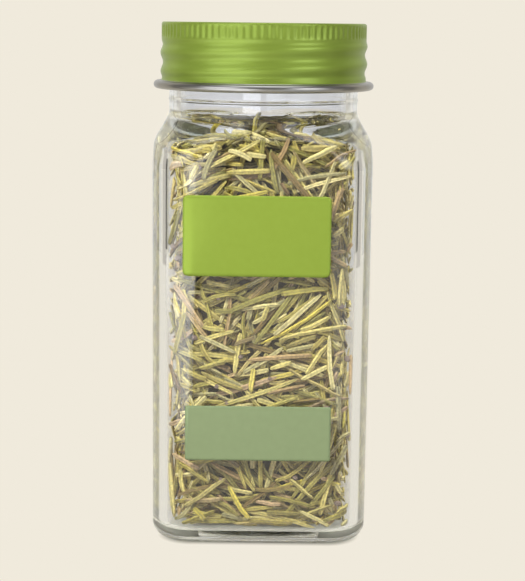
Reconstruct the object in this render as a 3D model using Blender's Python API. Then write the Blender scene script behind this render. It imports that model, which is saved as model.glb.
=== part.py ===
"""Square glass spice jar with a green screw cap, packed with dried rosemary leaves.

The jar stands on the origin with its labelled face towards -Y and its cap up.
All dimensions are metres.
"""
import math
import random

import bmesh
import bpy
from mathutils import Vector

MM = 0.001
TURN = 2 * math.pi

# Glass jar: a rounded square body under a turned shoulder and neck.
BODY_HALF = 23.1 * MM          # half the width across two flat faces
BODY_FLAT = 14.6 * MM          # half the width of a face that is truly flat
HEEL = 3.5 * MM                # rounding between the walls and the foot
FOOT_INNER = 17.1 * MM         # where the flat foot ring gives way to the push-up
PUSH_UP = 1.0 * MM             # rise of the underside at its middle
WALL = 3.0 * MM
CAVITY_FLAT = 14.1 * MM        # half the width of the flat part of a cavity wall
FLOOR = 2.6 * MM               # height of the cavity's floor at its edge
FLOOR_DOME = 0.5 * MM          # how much higher the floor is at its middle
CAVITY_HEEL = 2.6 * MM
NECK_R = 20.45 * MM
NECK_FOOT_Z = 92.6 * MM
BORE_R = 18.0 * MM
RIM_Z = 109.0 * MM
RIM_ROUND = 0.7 * MM
MELT = 0.36 * MM               # how softly the square body and the turned shoulder meet
SHOULDER_FOOT = 80.3 * MM
SHOULDER_RINGS = 14
EVEN_FROM = 84.4 * MM          # where a section's points begin to spread evenly about the axis
CAVITY_EVEN_FROM = 83.0 * MM
EVEN_RISE = 6.0 * MM

# Radius of the turned shoulder at each height (millimetres), outside and inside the glass.
SHOULDER = [(80.3, 29.3), (81.0, 28.9), (82.6, 28.1), (84.1, 27.05), (85.5, 25.85), (86.7, 24.7),
            (87.8, 23.5), (88.8, 22.45), (89.9, 21.45), (91.0, 20.75), (91.8, 20.5)]
CAVITY_SHOULDER = [(78.6, 25.9), (81.2, 25.1), (83.8, 23.8), (86.0, 22.1),
                   (88.2, 20.1), (90.4, 18.5), (92.2, 18.0)]

# Screw thread, right-handed: the ridge on the neck and the rolls pressed into the cap.
PITCH = 3.95 * MM
RIDGE_CREST_R = 21.8 * MM
RIDGE_Z0 = 101.8 * MM          # height of the ridge where it crosses the +X side
RIDGE_START = -3.0             # radians about +Z
RIDGE_END = 4.9
RIDGE_FADE = 0.5               # radians over which each end rises out of the neck
RIDGE_FOOT = 1.15 * MM         # half the ridge's height at the neck
RIDGE_FLAT = 0.35 * MM         # half its height at the crest
RIDGE_SINK = 0.45 * MM         # how far its root lies inside the neck
RIDGE_STEPS = 60
ROLL_Z0 = 103.78 * MM          # height of the pressed-in roll on the +X side
ROLL_DEPTH = 0.35 * MM
ROLL_TOP = 106.9 * MM
ROLL_BOTTOM = 98.2 * MM
ROLL_FADE = 1.0 * MM
ROLL_LEVELS = 10

# Cap: one pressed sheet with a fluted grip band and an outward curl at its hem.
SHEET = 0.30 * MM
CAP_TOP = 110.4 * MM
CAP_R = 22.15 * MM
CAP_EDGE = 0.75 * MM           # rounding between the top and the side
FLUTES = 92
FLUTE_DEPTH = 0.25 * MM
FLUTE_TOP = 109.9 * MM
FLUTE_BOTTOM = 107.2 * MM
PANEL_R = 18.9 * MM
PANEL_DROP = 0.25 * MM
PANEL_STEP = 0.4 * MM
CURL_R = 0.85 * MM
CURL_CENTRE_R = 23.1 * MM
CURL_Z = 97.1 * MM
CAP_SEGMENTS = 46              # half the flutes, so that the rings of both share their points

# Liner disc held between the cap's panel and the jar's rim.
LINER_R = 20.8 * MM
LINER_Z = 109.03 * MM
LINER_T = 0.78 * MM

# Dried leaves: a packed core with the outer leaves standing half out of it.
GLASS_GAP = 0.30 * MM
LEAF_R = 0.76 * MM             # circumradius of a leaf's three-sided section
CORE_INSET = GLASS_GAP + LEAF_R
CORE_FLOOR = FLOOR + FLOOR_DOME + CORE_INSET
LEAF_HALF = BODY_HALF - WALL - CORE_INSET          # half the width across the leaves' centre lines
LEAF_FLOOR = CORE_FLOOR + 0.5 * MM                 # lowest leaf end against the wall
LEAF_CEILING = 84.4 * MM                           # highest one, under the shoulder
HEAP = [(0.0, 88.1), (8.0, 88.1), (14.5, 88.0), (17.2, 87.7), (18.8, 87.1), (20.2, 86.0), (21.6, 84.7)]
WALL_LEAVES = 640
TOP_LEAVES = 70
FLOOR_LEAVES = 44
LEAF_SPACING = 1.70            # least distance between two leaves' centre lines, millimetres
LEAF_LENGTHS = (13, 12, 11, 10, 9, 8, 7, 6, 5)      # millimetres, the longest laid first
# Leaves that stand up into the neck: foot x, y, z, lean along x and y, length (millimetres).
STANDING = [(-1.8, -13.2, 87.2, 0.25, -0.2, 5.0), (9.2, -10.6, 87.0, -0.9, -0.25, 6.0),
            (-9.5, -8.0, 87.4, -0.5, 0.3, 4.2), (4.0, 9.5, 87.6, 0.6, 0.5, 4.6),
            (-6.5, 11.0, 87.2, -0.4, 0.2, 4.2), (12.4, 4.5, 87.0, 0.1, -0.7, 4.4)]
STANDING_ROOT = 2.0 * MM
SEED = 4043

# Labels on the -Y face: left, right, bottom, top, corner radius.
LABEL_T = 0.12 * MM
LABEL_GAP = 0.03 * MM
UPPER_LABEL = (-16.3 * MM, 14.3 * MM, 58.6 * MM, 75.4 * MM, 1.1 * MM)
LOWER_LABEL = (-15.7 * MM, 15.0 * MM, 19.2 * MM, 31.0 * MM, 0.25 * MM)

CREASE_DEGREES = 35.0


def material(name, colour, roughness, metallic=0.0, transmission=0.0):
    mat = bpy.data.materials.new(name)
    mat.use_nodes = True
    shader = mat.node_tree.nodes["Principled BSDF"]
    shader.inputs["Base Color"].default_value = (*colour, 1.0)
    shader.inputs["Roughness"].default_value = roughness
    shader.inputs["Metallic"].default_value = metallic
    shader.inputs["Transmission Weight"].default_value = transmission
    mat.diffuse_color = (*colour, 1.0)
    return mat


def finish(name, bm, mat, collection):
    """Turn a bmesh into a named object, shaded smooth except at its creases."""
    bmesh.ops.recalc_face_normals(bm, faces=bm.faces)
    mesh = bpy.data.meshes.new(name)
    bm.to_mesh(mesh)
    bm.free()
    obj = bpy.data.objects.new(name, mesh)
    collection.objects.link(obj)
    mesh.materials.append(mat)
    mesh.shade_smooth()
    mesh.set_sharp_from_angle(angle=math.radians(CREASE_DEGREES))
    return obj


def lookup(table, z):
    """Radius at height z, or height at radius z, from a table in millimetres."""
    z_mm = z / MM
    if z_mm <= table[0][0]:
        return table[0][1] * MM
    for (z0, r0), (z1, r1) in zip(table, table[1:]):
        if z_mm <= z1:
            return (r0 + (r1 - r0) * (z_mm - z0) / (z1 - z0)) * MM
    return table[-1][1] * MM


def clamped(value):
    return min(1.0, max(0.0, value))


def square_radius(theta, half, flat):
    """Distance from the axis to a rounded square in the direction theta."""
    phi = abs((theta + math.pi / 4) % (math.pi / 2) - math.pi / 4)
    if half * math.tan(phi) <= flat:
        return half / math.cos(phi)
    corner = half - flat
    b = flat * (math.cos(phi) + math.sin(phi))
    return b + math.sqrt(b * b - 2 * flat * flat + corner * corner)


def square_angles(half, flat):
    """Forty-eight directions that catch the flats and the corner arcs of a section."""
    first = [(half, flat * k / 3) for k in (0, 1, 2, 3)]
    corner = half - flat
    for step in range(1, 6):
        a = math.radians(15 * step)
        first.append((flat + corner * math.cos(a), flat + corner * math.sin(a)))
    first += [(flat * k / 3, half) for k in (3, 2, 1)]
    angles = [math.atan2(y, x) for x, y in first]
    return [a + quarter * math.pi / 2 for quarter in range(4) for a in angles]


def soft_min(a, b):
    """The lesser of two lengths, with a rounded change-over."""
    low = min(a, b)
    return low - MELT * math.log(math.exp((low - a) / MELT) + math.exp((low - b) / MELT))


def jar_ring(angles, half, flat, turned=None, evenness=0.0):
    """Points of one section: the rounded square, held inside the turned radius."""
    ring = []
    for i, a in enumerate(angles):
        even = TURN * i / len(angles)
        theta = a + (even - a) * evenness
        r = square_radius(theta, half, flat)
        if turned is not None:
            r = soft_min(r, turned)
        ring.append((r * math.cos(theta), r * math.sin(theta)))
    return ring


def circle(count, radius):
    return [(radius * math.cos(TURN * i / count), radius * math.sin(TURN * i / count)) for i in range(count)]


def add_ring(bm, points, z):
    return [bm.verts.new((x, y, z)) for x, y in points]


def bridge(bm, lower, upper):
    """Skin two rings; the finer one may have a whole multiple of the other's points."""
    n, m = len(lower), len(upper)
    if n == m:
        for i in range(n):
            j = (i + 1) % n
            bm.faces.new((lower[i], lower[j], upper[j], upper[i]))
        return
    coarse, fine = (lower, upper) if n < m else (upper, lower)
    ratio = len(fine) // len(coarse)
    for i in range(len(coarse)):
        j = (i + 1) % len(coarse)
        middle = i * ratio + ratio // 2
        for k in range(ratio):
            a = fine[(i * ratio + k) % len(fine)]
            b = fine[(i * ratio + k + 1) % len(fine)]
            bm.faces.new((coarse[i] if i * ratio + k < middle else coarse[j], a, b))
        bm.faces.new((coarse[i], coarse[j], fine[middle % len(fine)]))


def fan(bm, ring, centre_z):
    """Close a ring with triangles that meet on the axis."""
    centre = bm.verts.new((0, 0, centre_z))
    for i in range(len(ring)):
        bm.faces.new((ring[i], ring[(i + 1) % len(ring)], centre))


def loft(bm, rings):
    for lower, upper in zip(rings, rings[1:]):
        bridge(bm, lower, upper)


def sweep(bm, sections):
    """Skin a row of small closed sections and cap its two ends."""
    loft(bm, sections)
    bm.faces.new(sections[0])
    bm.faces.new(list(reversed(sections[-1])))


def glass_jar(mat, collection):
    angles = square_angles(BODY_HALF, BODY_FLAT)
    inner_angles = square_angles(BODY_HALF - WALL, CAVITY_FLAT)
    bm = bmesh.new()
    rings = []
    # Push-up under the base, then the flat foot ring and the heel.
    for share in (0.42, 0.8, 1.0):
        half = FOOT_INNER * share
        flat = half * BODY_FLAT / BODY_HALF
        rings.append(add_ring(bm, jar_ring(angles, half, flat), PUSH_UP * (1 - share ** 2)))
    for degrees in (0, 30, 60, 90):
        a = math.radians(degrees)
        half = BODY_HALF - HEEL * (1 - math.sin(a))
        rings.append(add_ring(bm, jar_ring(angles, half, BODY_FLAT), HEEL * (1 - math.cos(a))))
    # Shoulder and neck, turning round as they rise.
    for k in range(SHOULDER_RINGS):
        z = SHOULDER_FOOT + (SHOULDER[-1][0] * MM - SHOULDER_FOOT) * k / (SHOULDER_RINGS - 1)
        evenness = clamped((z - EVEN_FROM) / EVEN_RISE)
        rings.append(add_ring(bm, jar_ring(angles, BODY_HALF, BODY_FLAT, lookup(SHOULDER, z), evenness), z))
    for r, z in ((NECK_R, NECK_FOOT_Z), (NECK_R, RIM_Z - 1.4 * RIM_ROUND),
                 (NECK_R - 0.35 * RIM_ROUND, RIM_Z - 0.4 * RIM_ROUND), (NECK_R - RIM_ROUND, RIM_Z),
                 (BORE_R + RIM_ROUND, RIM_Z), (BORE_R, RIM_Z - RIM_ROUND)):
        rings.append(add_ring(bm, jar_ring(angles, r, 0.0, r, 1.0), z))
    # Cavity, from the bore down to the floor.
    for z_mm, r_mm in reversed(CAVITY_SHOULDER):
        evenness = clamped((z_mm * MM - CAVITY_EVEN_FROM) / EVEN_RISE)
        points = jar_ring(inner_angles, BODY_HALF - WALL, CAVITY_FLAT, r_mm * MM, evenness)
        rings.append(add_ring(bm, points, z_mm * MM))
    for degrees in (90, 60, 30, 0):
        a = math.radians(degrees)
        half = BODY_HALF - WALL - CAVITY_HEEL * (1 - math.sin(a))
        flat = min(CAVITY_FLAT, half * 0.85)
        rings.append(add_ring(bm, jar_ring(inner_angles, half, flat), FLOOR + CAVITY_HEEL * (1 - math.cos(a))))
    loft(bm, rings)
    fan(bm, rings[0], PUSH_UP)
    fan(bm, rings[-1], FLOOR + FLOOR_DOME)
    return finish("glass_jar", bm, mat, collection)


def neck_ridge(jar, collection):
    """Fuse the screw ridge to the neck: a tapering four-sided sweep of one and a quarter turns."""
    bm = bmesh.new()
    sections = []
    root = NECK_R - RIDGE_SINK
    for i in range(RIDGE_STEPS + 1):
        theta = RIDGE_START + (RIDGE_END - RIDGE_START) * i / RIDGE_STEPS
        z = RIDGE_Z0 + PITCH * theta / TURN
        rise = clamped(min(theta - RIDGE_START, RIDGE_END - theta) / RIDGE_FADE)
        buried = NECK_R - RIDGE_SINK / 3
        crest = buried + (RIDGE_CREST_R - buried) * rise
        corners = ((root, -RIDGE_FOOT), (crest, -RIDGE_FLAT), (crest, RIDGE_FLAT), (root, RIDGE_FOOT))
        sections.append([bm.verts.new((r * math.cos(theta), r * math.sin(theta), z + dz))
                         for r, dz in corners])
    sweep(bm, sections)
    fuse(jar, finish("neck_ridge", bm, jar.data.materials[0], collection))


def fuse(target, tool):
    """One exact Boolean union on a collection, applied, with the collection's object removed."""
    group = bpy.data.collections.new(tool.name + "_group")
    group.objects.link(tool)
    tool.hide_render = True
    tool.display_type = "WIRE"
    union = target.modifiers.new("union", "BOOLEAN")
    union.operation = "UNION"
    union.solver = "EXACT"
    union.use_self = True
    union.operand_type = "COLLECTION"
    union.collection = group
    evaluated = target.evaluated_get(bpy.context.evaluated_depsgraph_get())
    mesh = bpy.data.meshes.new_from_object(evaluated)
    target.modifiers.clear()
    old = target.data
    target.data = mesh
    mesh.name = target.name
    bpy.data.meshes.remove(old)
    bpy.data.objects.remove(tool, do_unlink=True)
    bpy.data.collections.remove(group)
    mesh.shade_smooth()
    mesh.set_sharp_from_angle(angle=math.radians(CREASE_DEGREES))


def rolled(z, inset):
    """One level of the cap's skirt, whose thread is a roll pressed in along a helix."""
    depth = ROLL_DEPTH * clamped((z - ROLL_BOTTOM) / ROLL_FADE) * clamped((ROLL_TOP - z) / ROLL_FADE)
    points = []
    for i in range(CAP_SEGMENTS):
        theta = TURN * i / CAP_SEGMENTS
        r = CAP_R - inset - depth * math.cos(TURN * (z - ROLL_Z0) / PITCH - theta)
        points.append((r * math.cos(theta), r * math.sin(theta)))
    return points


def fluted():
    """A ring of the grip band, with every other point pressed in."""
    points = []
    for i in range(2 * FLUTES):
        theta = math.pi * i / FLUTES
        r = CAP_R - FLUTE_DEPTH * (i % 2)
        points.append((r * math.cos(theta), r * math.sin(theta)))
    return points


def cap(mat, collection):
    """The pressed sheet, from the middle of its top round the hem and back up its inside."""
    n = CAP_SEGMENTS
    bm = bmesh.new()
    rings = [add_ring(bm, circle(n, PANEL_R), CAP_TOP - PANEL_DROP),
             add_ring(bm, circle(n, PANEL_R + PANEL_STEP), CAP_TOP),
             add_ring(bm, circle(n, CAP_R - CAP_EDGE), CAP_TOP),
             add_ring(bm, circle(n, CAP_R - 0.45 * CAP_EDGE), CAP_TOP - 0.2 * CAP_EDGE),
             add_ring(bm, fluted(), FLUTE_TOP),
             add_ring(bm, fluted(), FLUTE_BOTTOM)]
    levels = [ROLL_TOP + (ROLL_BOTTOM - ROLL_TOP) * k / (ROLL_LEVELS - 1) for k in range(ROLL_LEVELS)]
    rings += [add_ring(bm, rolled(z, 0.0), z) for z in levels]
    # The hem curls outwards into a bead.
    for degrees in (125, 90, 45, 0, -45, -90, -135, 180):
        a = math.radians(degrees)
        rings.append(add_ring(bm, circle(n, CURL_CENTRE_R + CURL_R * math.cos(a)), CURL_Z + CURL_R * math.sin(a)))
    rings += [add_ring(bm, rolled(z, SHEET), z) for z in reversed(levels)]
    lined = CAP_R - FLUTE_DEPTH - SHEET
    rings += [add_ring(bm, circle(n, lined), FLUTE_BOTTOM),
              add_ring(bm, circle(n, lined), CAP_TOP - CAP_EDGE),
              add_ring(bm, circle(n, CAP_R - CAP_EDGE - PANEL_STEP), CAP_TOP - SHEET),
              add_ring(bm, circle(n, PANEL_R + PANEL_STEP / 2), CAP_TOP - SHEET),
              add_ring(bm, circle(n, PANEL_R - PANEL_STEP / 2), CAP_TOP - PANEL_DROP - SHEET)]
    loft(bm, rings)
    fan(bm, rings[0], CAP_TOP - PANEL_DROP)
    fan(bm, rings[-1], CAP_TOP - PANEL_DROP - SHEET)
    return finish("cap", bm, mat, collection)


def cap_liner(mat, collection):
    bm = bmesh.new()
    bmesh.ops.create_cone(bm, cap_ends=True, segments=48, radius1=LINER_R, radius2=LINER_R, depth=LINER_T)
    bmesh.ops.translate(bm, verts=bm.verts, vec=(0, 0, LINER_Z + LINER_T / 2))
    return finish("cap_liner", bm, mat, collection)


def label(name, box, mat, collection):
    """A thin plate that follows the front face and the start of its corner curves."""
    left, right, bottom, top, radius = box
    corner = BODY_HALF - BODY_FLAT
    inner = [x for x in (-BODY_FLAT, 0.0, BODY_FLAT) if left + radius < x < right - radius]
    turns = [radius * (1 - math.cos(math.radians(a))) for a in (0, 30, 60, 90)]
    columns = sorted([left + t for t in turns] + [right - t for t in turns] + inner)
    bm = bmesh.new()
    sections = []
    for x in columns:
        past = max(0.0, abs(x) - BODY_FLAT)
        back = -(BODY_FLAT + math.sqrt(corner * corner - past * past)) - LABEL_GAP
        front = back - LABEL_T
        # At either end the top and bottom draw in along the rounded corners, never quite to meet.
        into = max(0.0, radius - min(x - left, right - x))
        cut = min(radius - math.sqrt(max(0.0, radius * radius - into * into)), radius * 0.999)
        sections.append([bm.verts.new((x, y, z)) for y, z in (
            (back, bottom + cut), (back, top - cut), (front, top - cut), (front, bottom + cut))])
    sweep(bm, sections)
    return finish(name, bm, mat, collection)


def core_mesh(mat, collection):
    """The packed inside of the heap, a rounded square with a nearly flat top."""
    angles = [a for k, a in enumerate(square_angles(LEAF_HALF, CAVITY_FLAT)) if k % 12 not in (1, 2, 10, 11)]
    bm = bmesh.new()
    rings = []
    for inset, rise in ((1.7, 0.0), (0.5, 0.4), (0.0, 1.2)):
        half = LEAF_HALF - inset * MM
        rings.append(add_ring(bm, jar_ring(angles, half, CAVITY_FLAT - inset * MM), CORE_FLOOR + rise * MM))
    for z_mm in (32.0, 55.0, 78.0):
        rings.append(add_ring(bm, jar_ring(angles, LEAF_HALF, CAVITY_FLAT), z_mm * MM))
    for z_mm in (80.6, 82.6, 84.0):
        turned = lookup(CAVITY_SHOULDER, z_mm * MM) - CORE_INSET
        rings.append(add_ring(bm, jar_ring(angles, LEAF_HALF, CAVITY_FLAT, turned), z_mm * MM))
    for r_mm, z_mm in reversed(HEAP[1:]):
        rings.append(add_ring(bm, jar_ring(angles, LEAF_HALF, CAVITY_FLAT, r_mm * MM), z_mm * MM))
    loft(bm, rings)
    fan(bm, rings[0], CORE_FLOOR)
    fan(bm, rings[-1], HEAP[0][1] * MM)
    return finish("rosemary_leaves", bm, mat, collection)


def wall_length():
    """Distance round the cavity along the leaves' centre lines."""
    return 8 * CAVITY_FLAT + TURN * (LEAF_HALF - CAVITY_FLAT)


def wall_point(u, z):
    """A leaf's centre line against the glass, a distance u round the cavity from +X."""
    corner = LEAF_HALF - CAVITY_FLAT
    arc = corner * math.pi / 2
    side, s = divmod(u % wall_length(), wall_length() / 4)
    if s < CAVITY_FLAT:
        x, y = LEAF_HALF, s
    elif s < CAVITY_FLAT + arc:
        a = (s - CAVITY_FLAT) / corner
        x, y = CAVITY_FLAT + corner * math.cos(a), CAVITY_FLAT + corner * math.sin(a)
    else:
        x, y = 2 * CAVITY_FLAT + arc - s, LEAF_HALF
    # Held in by the shoulder above and the heel below.
    r = math.hypot(x, y)
    share = min(1.0, (lookup(CAVITY_SHOULDER, z) - CORE_INSET) / r)
    reach = CAVITY_HEEL - CORE_INSET
    drop = clamped((FLOOR + CAVITY_HEEL - z) / reach)
    share -= (reach - reach * math.sqrt(1 - drop * drop)) / LEAF_HALF
    x, y = x * share, y * share
    for _ in range(int(side)):
        x, y = -y, x
    return Vector((x, y, z))


def top_point(x, y):
    """A leaf's centre line on the heap's top, lower towards the shoulder."""
    return Vector((x, y, lookup(HEAP, math.hypot(x, y))))


def floor_point(x, y):
    return Vector((x, y, CORE_FLOOR))


def leaf(bm, points, outward, radii):
    """A three-sided leaf along the points, with one edge turned outwards."""
    sections = []
    for i, (p, out, radius) in enumerate(zip(points, outward, radii)):
        ahead = points[min(i + 1, len(points) - 1)] - points[max(i - 1, 0)]
        ahead.normalize()
        up = (out - ahead * out.dot(ahead)).normalized()
        side = ahead.cross(up)
        sections.append([bm.verts.new(p + (up * math.cos(a) + side * math.sin(a)) * radius)
                         for a in (0.0, TURN / 3, 2 * TURN / 3)])
    sweep(bm, sections)


def segment_gap(a, b, c, d):
    """Least distance between two segments in the plane."""
    def cross(o, p, q):
        return (p[0] - o[0]) * (q[1] - o[1]) - (p[1] - o[1]) * (q[0] - o[0])

    def reach(p, q, r):
        dx, dy = r[0] - q[0], r[1] - q[1]
        t = clamped(((p[0] - q[0]) * dx + (p[1] - q[1]) * dy) / (dx * dx + dy * dy))
        return math.hypot(p[0] - q[0] - t * dx, p[1] - q[1] - t * dy)

    if cross(a, b, c) * cross(a, b, d) < 0 and cross(c, d, a) * cross(c, d, b) < 0:
        return 0.0
    return min(reach(a, c, d), reach(b, c, d), reach(c, a, b), reach(d, a, b))


def scatter(rng, draw, inside, tries, limit, wrap=0.0):
    """Place straight leaves at every angle in a region (millimetres), none nearer another than the spacing."""
    longest = LEAF_LENGTHS[0] * 1.4
    placed = []
    for attempt in range(tries):
        if len(placed) >= limit:
            break
        length = LEAF_LENGTHS[attempt * len(LEAF_LENGTHS) // tries] * rng.uniform(0.85, 1.15)
        x, y = draw()
        a = rng.uniform(0, math.pi)
        dx, dy = math.cos(a) * length / 2, math.sin(a) * length / 2
        p, q = (x - dx, y - dy), (x + dx, y + dy)
        if not (inside(*p) and inside(*q)):
            continue
        near = ((c, d, s) for c, d in placed for s in ((0.0, wrap, -wrap) if wrap else (0.0,))
                if abs((c[0] + d[0]) / 2 + s - x) < longest and abs((c[1] + d[1]) / 2 - y) < longest)
        if all(segment_gap(p, q, (c[0] + s, c[1]), (d[0] + s, d[1])) > LEAF_SPACING for c, d, s in near):
            placed.append((p, q))
    return placed


def wall_leaves(bm, rng):
    """Leaves lying against the four walls."""
    around = wall_length() / MM
    low, high = LEAF_FLOOR / MM, LEAF_CEILING / MM
    laid = scatter(rng, lambda: (rng.uniform(0, around), rng.uniform(low, high)),
                   lambda u, z: low < z < high, 40000, WALL_LEAVES, around)
    for p, q in laid:
        points = [wall_point((p[0] + (q[0] - p[0]) * t) * MM, (p[1] + (q[1] - p[1]) * t) * MM)
                  for t in (0.0, 0.5, 1.0)]
        bend = (points[1] - (points[0] + points[2]) / 2).length
        size = rng.uniform(0.86, 1.0) * LEAF_R
        radii = (size * 0.8, size, size * 0.6)
        keep = (0, 1, 2) if bend > 0.12 * MM else (0, 2)
        leaf(bm, [points[k] for k in keep], [Vector((points[k].x, points[k].y, 0)) for k in keep],
             [radii[k] for k in keep])


def level_leaves(bm, rng, place, reach, inside, limit, out):
    """Leaves lying on the heap's top or under it."""
    laid = scatter(rng, lambda: (rng.uniform(-reach, reach), rng.uniform(-reach, reach)), inside, 3500, limit)
    for p, q in laid:
        points = [place(x * MM, y * MM) for x, y in (p, q)]
        size = rng.uniform(0.86, 1.0) * LEAF_R
        leaf(bm, points, [Vector((0, 0, out))] * 2, (size * 0.9, size * 0.65))


def standing_leaves(bm):
    """The few that stick up out of the heap."""
    for x, y, z, lean_x, lean_y, length in STANDING:
        foot = Vector((x, y, z)) * MM
        way = Vector((lean_x, lean_y, 1.0)).normalized()
        points = [foot - way * STANDING_ROOT, foot + way * length * MM / 2, foot + way * length * MM]
        across = Vector((lean_y, -lean_x, 0.2))
        leaf(bm, points, [across] * 3, (0.65 * LEAF_R, 0.8 * LEAF_R, 0.4 * LEAF_R))


def rosemary_leaves(mat, collection):
    rng = random.Random(SEED)
    core = core_mesh(mat, collection)
    bm = bmesh.new()
    wall_leaves(bm, rng)
    level_leaves(bm, rng, top_point, 18.0,
                 lambda x, y: math.hypot(x, y) < 19.2 and max(abs(x), abs(y)) < 18.0, TOP_LEAVES, 1)
    level_leaves(bm, rng, floor_point, 16.0,
                 lambda x, y: max(abs(x), abs(y)) < 16.4 and math.hypot(x, y) < 21.0, FLOOR_LEAVES, -1)
    standing_leaves(bm)
    fuse(core, finish("leaf_tool", bm, mat, collection))
    return core


def main():
    for obj in list(bpy.data.objects):
        bpy.data.objects.remove(obj, do_unlink=True)
    jar_set = bpy.data.collections.new("jar_of_dried_rosemary")
    bpy.context.scene.collection.children.link(jar_set)

    glass = material("clear_glass", (0.93, 0.96, 0.94), 0.02, transmission=1.0)
    lacquer = material("green_lacquered_steel", (0.30, 0.41, 0.07), 0.32, metallic=0.2)
    wad = material("liner_board", (0.80, 0.78, 0.72), 0.7)
    leaves = material("dried_rosemary_leaf", (0.40, 0.38, 0.18), 0.75)
    lime = material("lime_label_film", (0.42, 0.56, 0.08), 0.4)
    sage = material("sage_label_film", (0.29, 0.40, 0.20), 0.4)

    jar = glass_jar(glass, jar_set)
    neck_ridge(jar, jar_set)
    cap(lacquer, jar_set)
    cap_liner(wad, jar_set)
    rosemary_leaves(leaves, jar_set)
    label("upper_label", UPPER_LABEL, lime, jar_set)
    label("lower_label", LOWER_LABEL, sage, jar_set)


main()
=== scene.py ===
import math

import bmesh
import bpy
import numpy as np
from mathutils import Matrix, Vector


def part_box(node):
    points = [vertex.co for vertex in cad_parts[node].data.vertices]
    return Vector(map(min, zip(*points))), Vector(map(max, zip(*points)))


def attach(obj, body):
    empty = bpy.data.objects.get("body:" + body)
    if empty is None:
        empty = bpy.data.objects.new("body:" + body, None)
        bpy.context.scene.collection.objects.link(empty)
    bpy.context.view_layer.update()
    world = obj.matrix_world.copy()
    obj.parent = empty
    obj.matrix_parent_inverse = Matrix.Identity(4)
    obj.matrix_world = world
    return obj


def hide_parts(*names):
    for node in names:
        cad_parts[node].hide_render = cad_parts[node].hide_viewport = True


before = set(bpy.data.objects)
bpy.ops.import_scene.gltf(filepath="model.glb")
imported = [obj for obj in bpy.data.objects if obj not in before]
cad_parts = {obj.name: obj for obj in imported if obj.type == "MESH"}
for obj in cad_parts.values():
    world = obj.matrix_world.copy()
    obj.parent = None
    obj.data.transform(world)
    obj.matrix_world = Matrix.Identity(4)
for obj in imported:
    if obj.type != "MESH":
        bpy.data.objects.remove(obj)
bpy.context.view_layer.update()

MM = 0.001
TURN = 2 * math.pi

# Driving sizes, read from the frame where it has them (metres).
GLASS_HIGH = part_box("glass_jar")[1]
CAP_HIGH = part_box("cap")[1]
LINER_LOW, LINER_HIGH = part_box("cap_liner")
BODY_HALF = GLASS_HIGH[0]
RIM_Z = GLASS_HIGH[2]
CAP_TOP = CAP_HIGH[2]
HEM_REACH = CAP_HIGH[1]

# Glass: a pressed square jar whose shoulder draws in to a round neck.
CORNER_R = 8.5 * MM
HEEL_R = 3.5 * MM
FOOT_INNER = 17.1 * MM
PUSH_UP = 1.0 * MM
WALL = 3.0 * MM
CAVITY_CORNER_R = 6.0 * MM
CAVITY_HEEL_R = 1.6 * MM
FLOOR_Z = 2.6 * MM
FLOOR_DOME = 0.5 * MM
NECK_R = 20.45 * MM
BORE_R = 18.0 * MM
NECK_SEAM_Z = 94.0 * MM
SEAM_RISE = 0.16 * MM
SEAM_HALF = 0.25 * MM
RIM_ROUND = 0.75 * MM
BODY_TOP = 79.0 * MM           # top of the plumb outer wall
# Where the shoulder's sides and corners begin to draw in, and where both have become the round neck.
SIDES_FROM, CORNERS_FROM, SHOULDER_END = 84.8 * MM, 80.5 * MM, 91.8 * MM
CAVITY_SIDES_FROM, CAVITY_CORNERS_FROM, CAVITY_END = 84.6 * MM, 83.0 * MM, 89.2 * MM

# Screw thread, right-handed: the ridge on the neck and the roll pressed into the cap.
PITCH = 3.95 * MM
RIDGE_RISE = 1.35 * MM
RIDGE_Z0 = 101.8 * MM
RIDGE_START, RIDGE_END = -3.0, 4.9
ROLL_Z0 = 103.78 * MM
ROLL_DEPTH = 0.26 * MM
# The heights between which the roll runs, and over which it fades in and out.
ROLL_FROM, ROLL_TO = 98.2 * MM, 106.9 * MM
ROLL_EASE_IN, ROLL_EASE_OUT = 1.2 * MM, 1.3 * MM

# Cap: one pressed sheet.
SHEET = 0.25 * MM
CAP_R = 22.13 * MM
FLUTES = 92
FLUTE_DEPTH = 0.17 * MM
# Down the grip band: height in millimetres, and the share of the full depth there.
FLUTE_PROFILE = ((109.95, 0.0), (109.75, 0.5), (109.5, 0.9), (109.1, 1.0), (108.5, 1.0), (108.0, 1.0),
                 (107.6, 0.9), (107.35, 0.6), (107.15, 0.25), (106.95, 0.0))
PANEL_R = 18.9 * MM
PANEL_DROP = 0.25 * MM
HEM_R = 0.85 * MM
HEM_Z = 97.1 * MM

# Labels: a film held a little off the glass.
LABEL_OFF = 0.14 * MM
LABEL_THICK = 0.1 * MM

# Dried leaves.
SEED = 4043
GLASS_GAP = 0.12 * MM
HEAP_Z = 86.7 * MM
LEAF_HALF_WIDTH = 0.54 * MM
LEAF_HALF_THICK = 0.38 * MM
SINK = 0.45                    # how far a leaf presses into those under it, of its half thickness
# Millimetres; each is as likely as the next, so the middling ones come most often.
LEAF_LENGTHS = np.array([3.5, 4.5, 5.5, 6.5, 7, 7.5, 8, 8.5, 9, 9.5, 10, 11, 12, 13, 14.5, 16])
MAP_CELL = 0.3                 # millimetres, the grid on which leaves settle
WALL_LEAVES = 7400
WALL_SPOTS = (3.6, 87.2)       # millimetres, the lowest and highest middle of a leaf at the wall
WALL_SPAN = (2.6, 88.3)        # millimetres, what no such leaf passes
TOP_LEAVES = 230
FLOOR_LEAVES = 170
HEART_DEPTH = 5.2 * MM
FLOWER_BITS = 60
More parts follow.
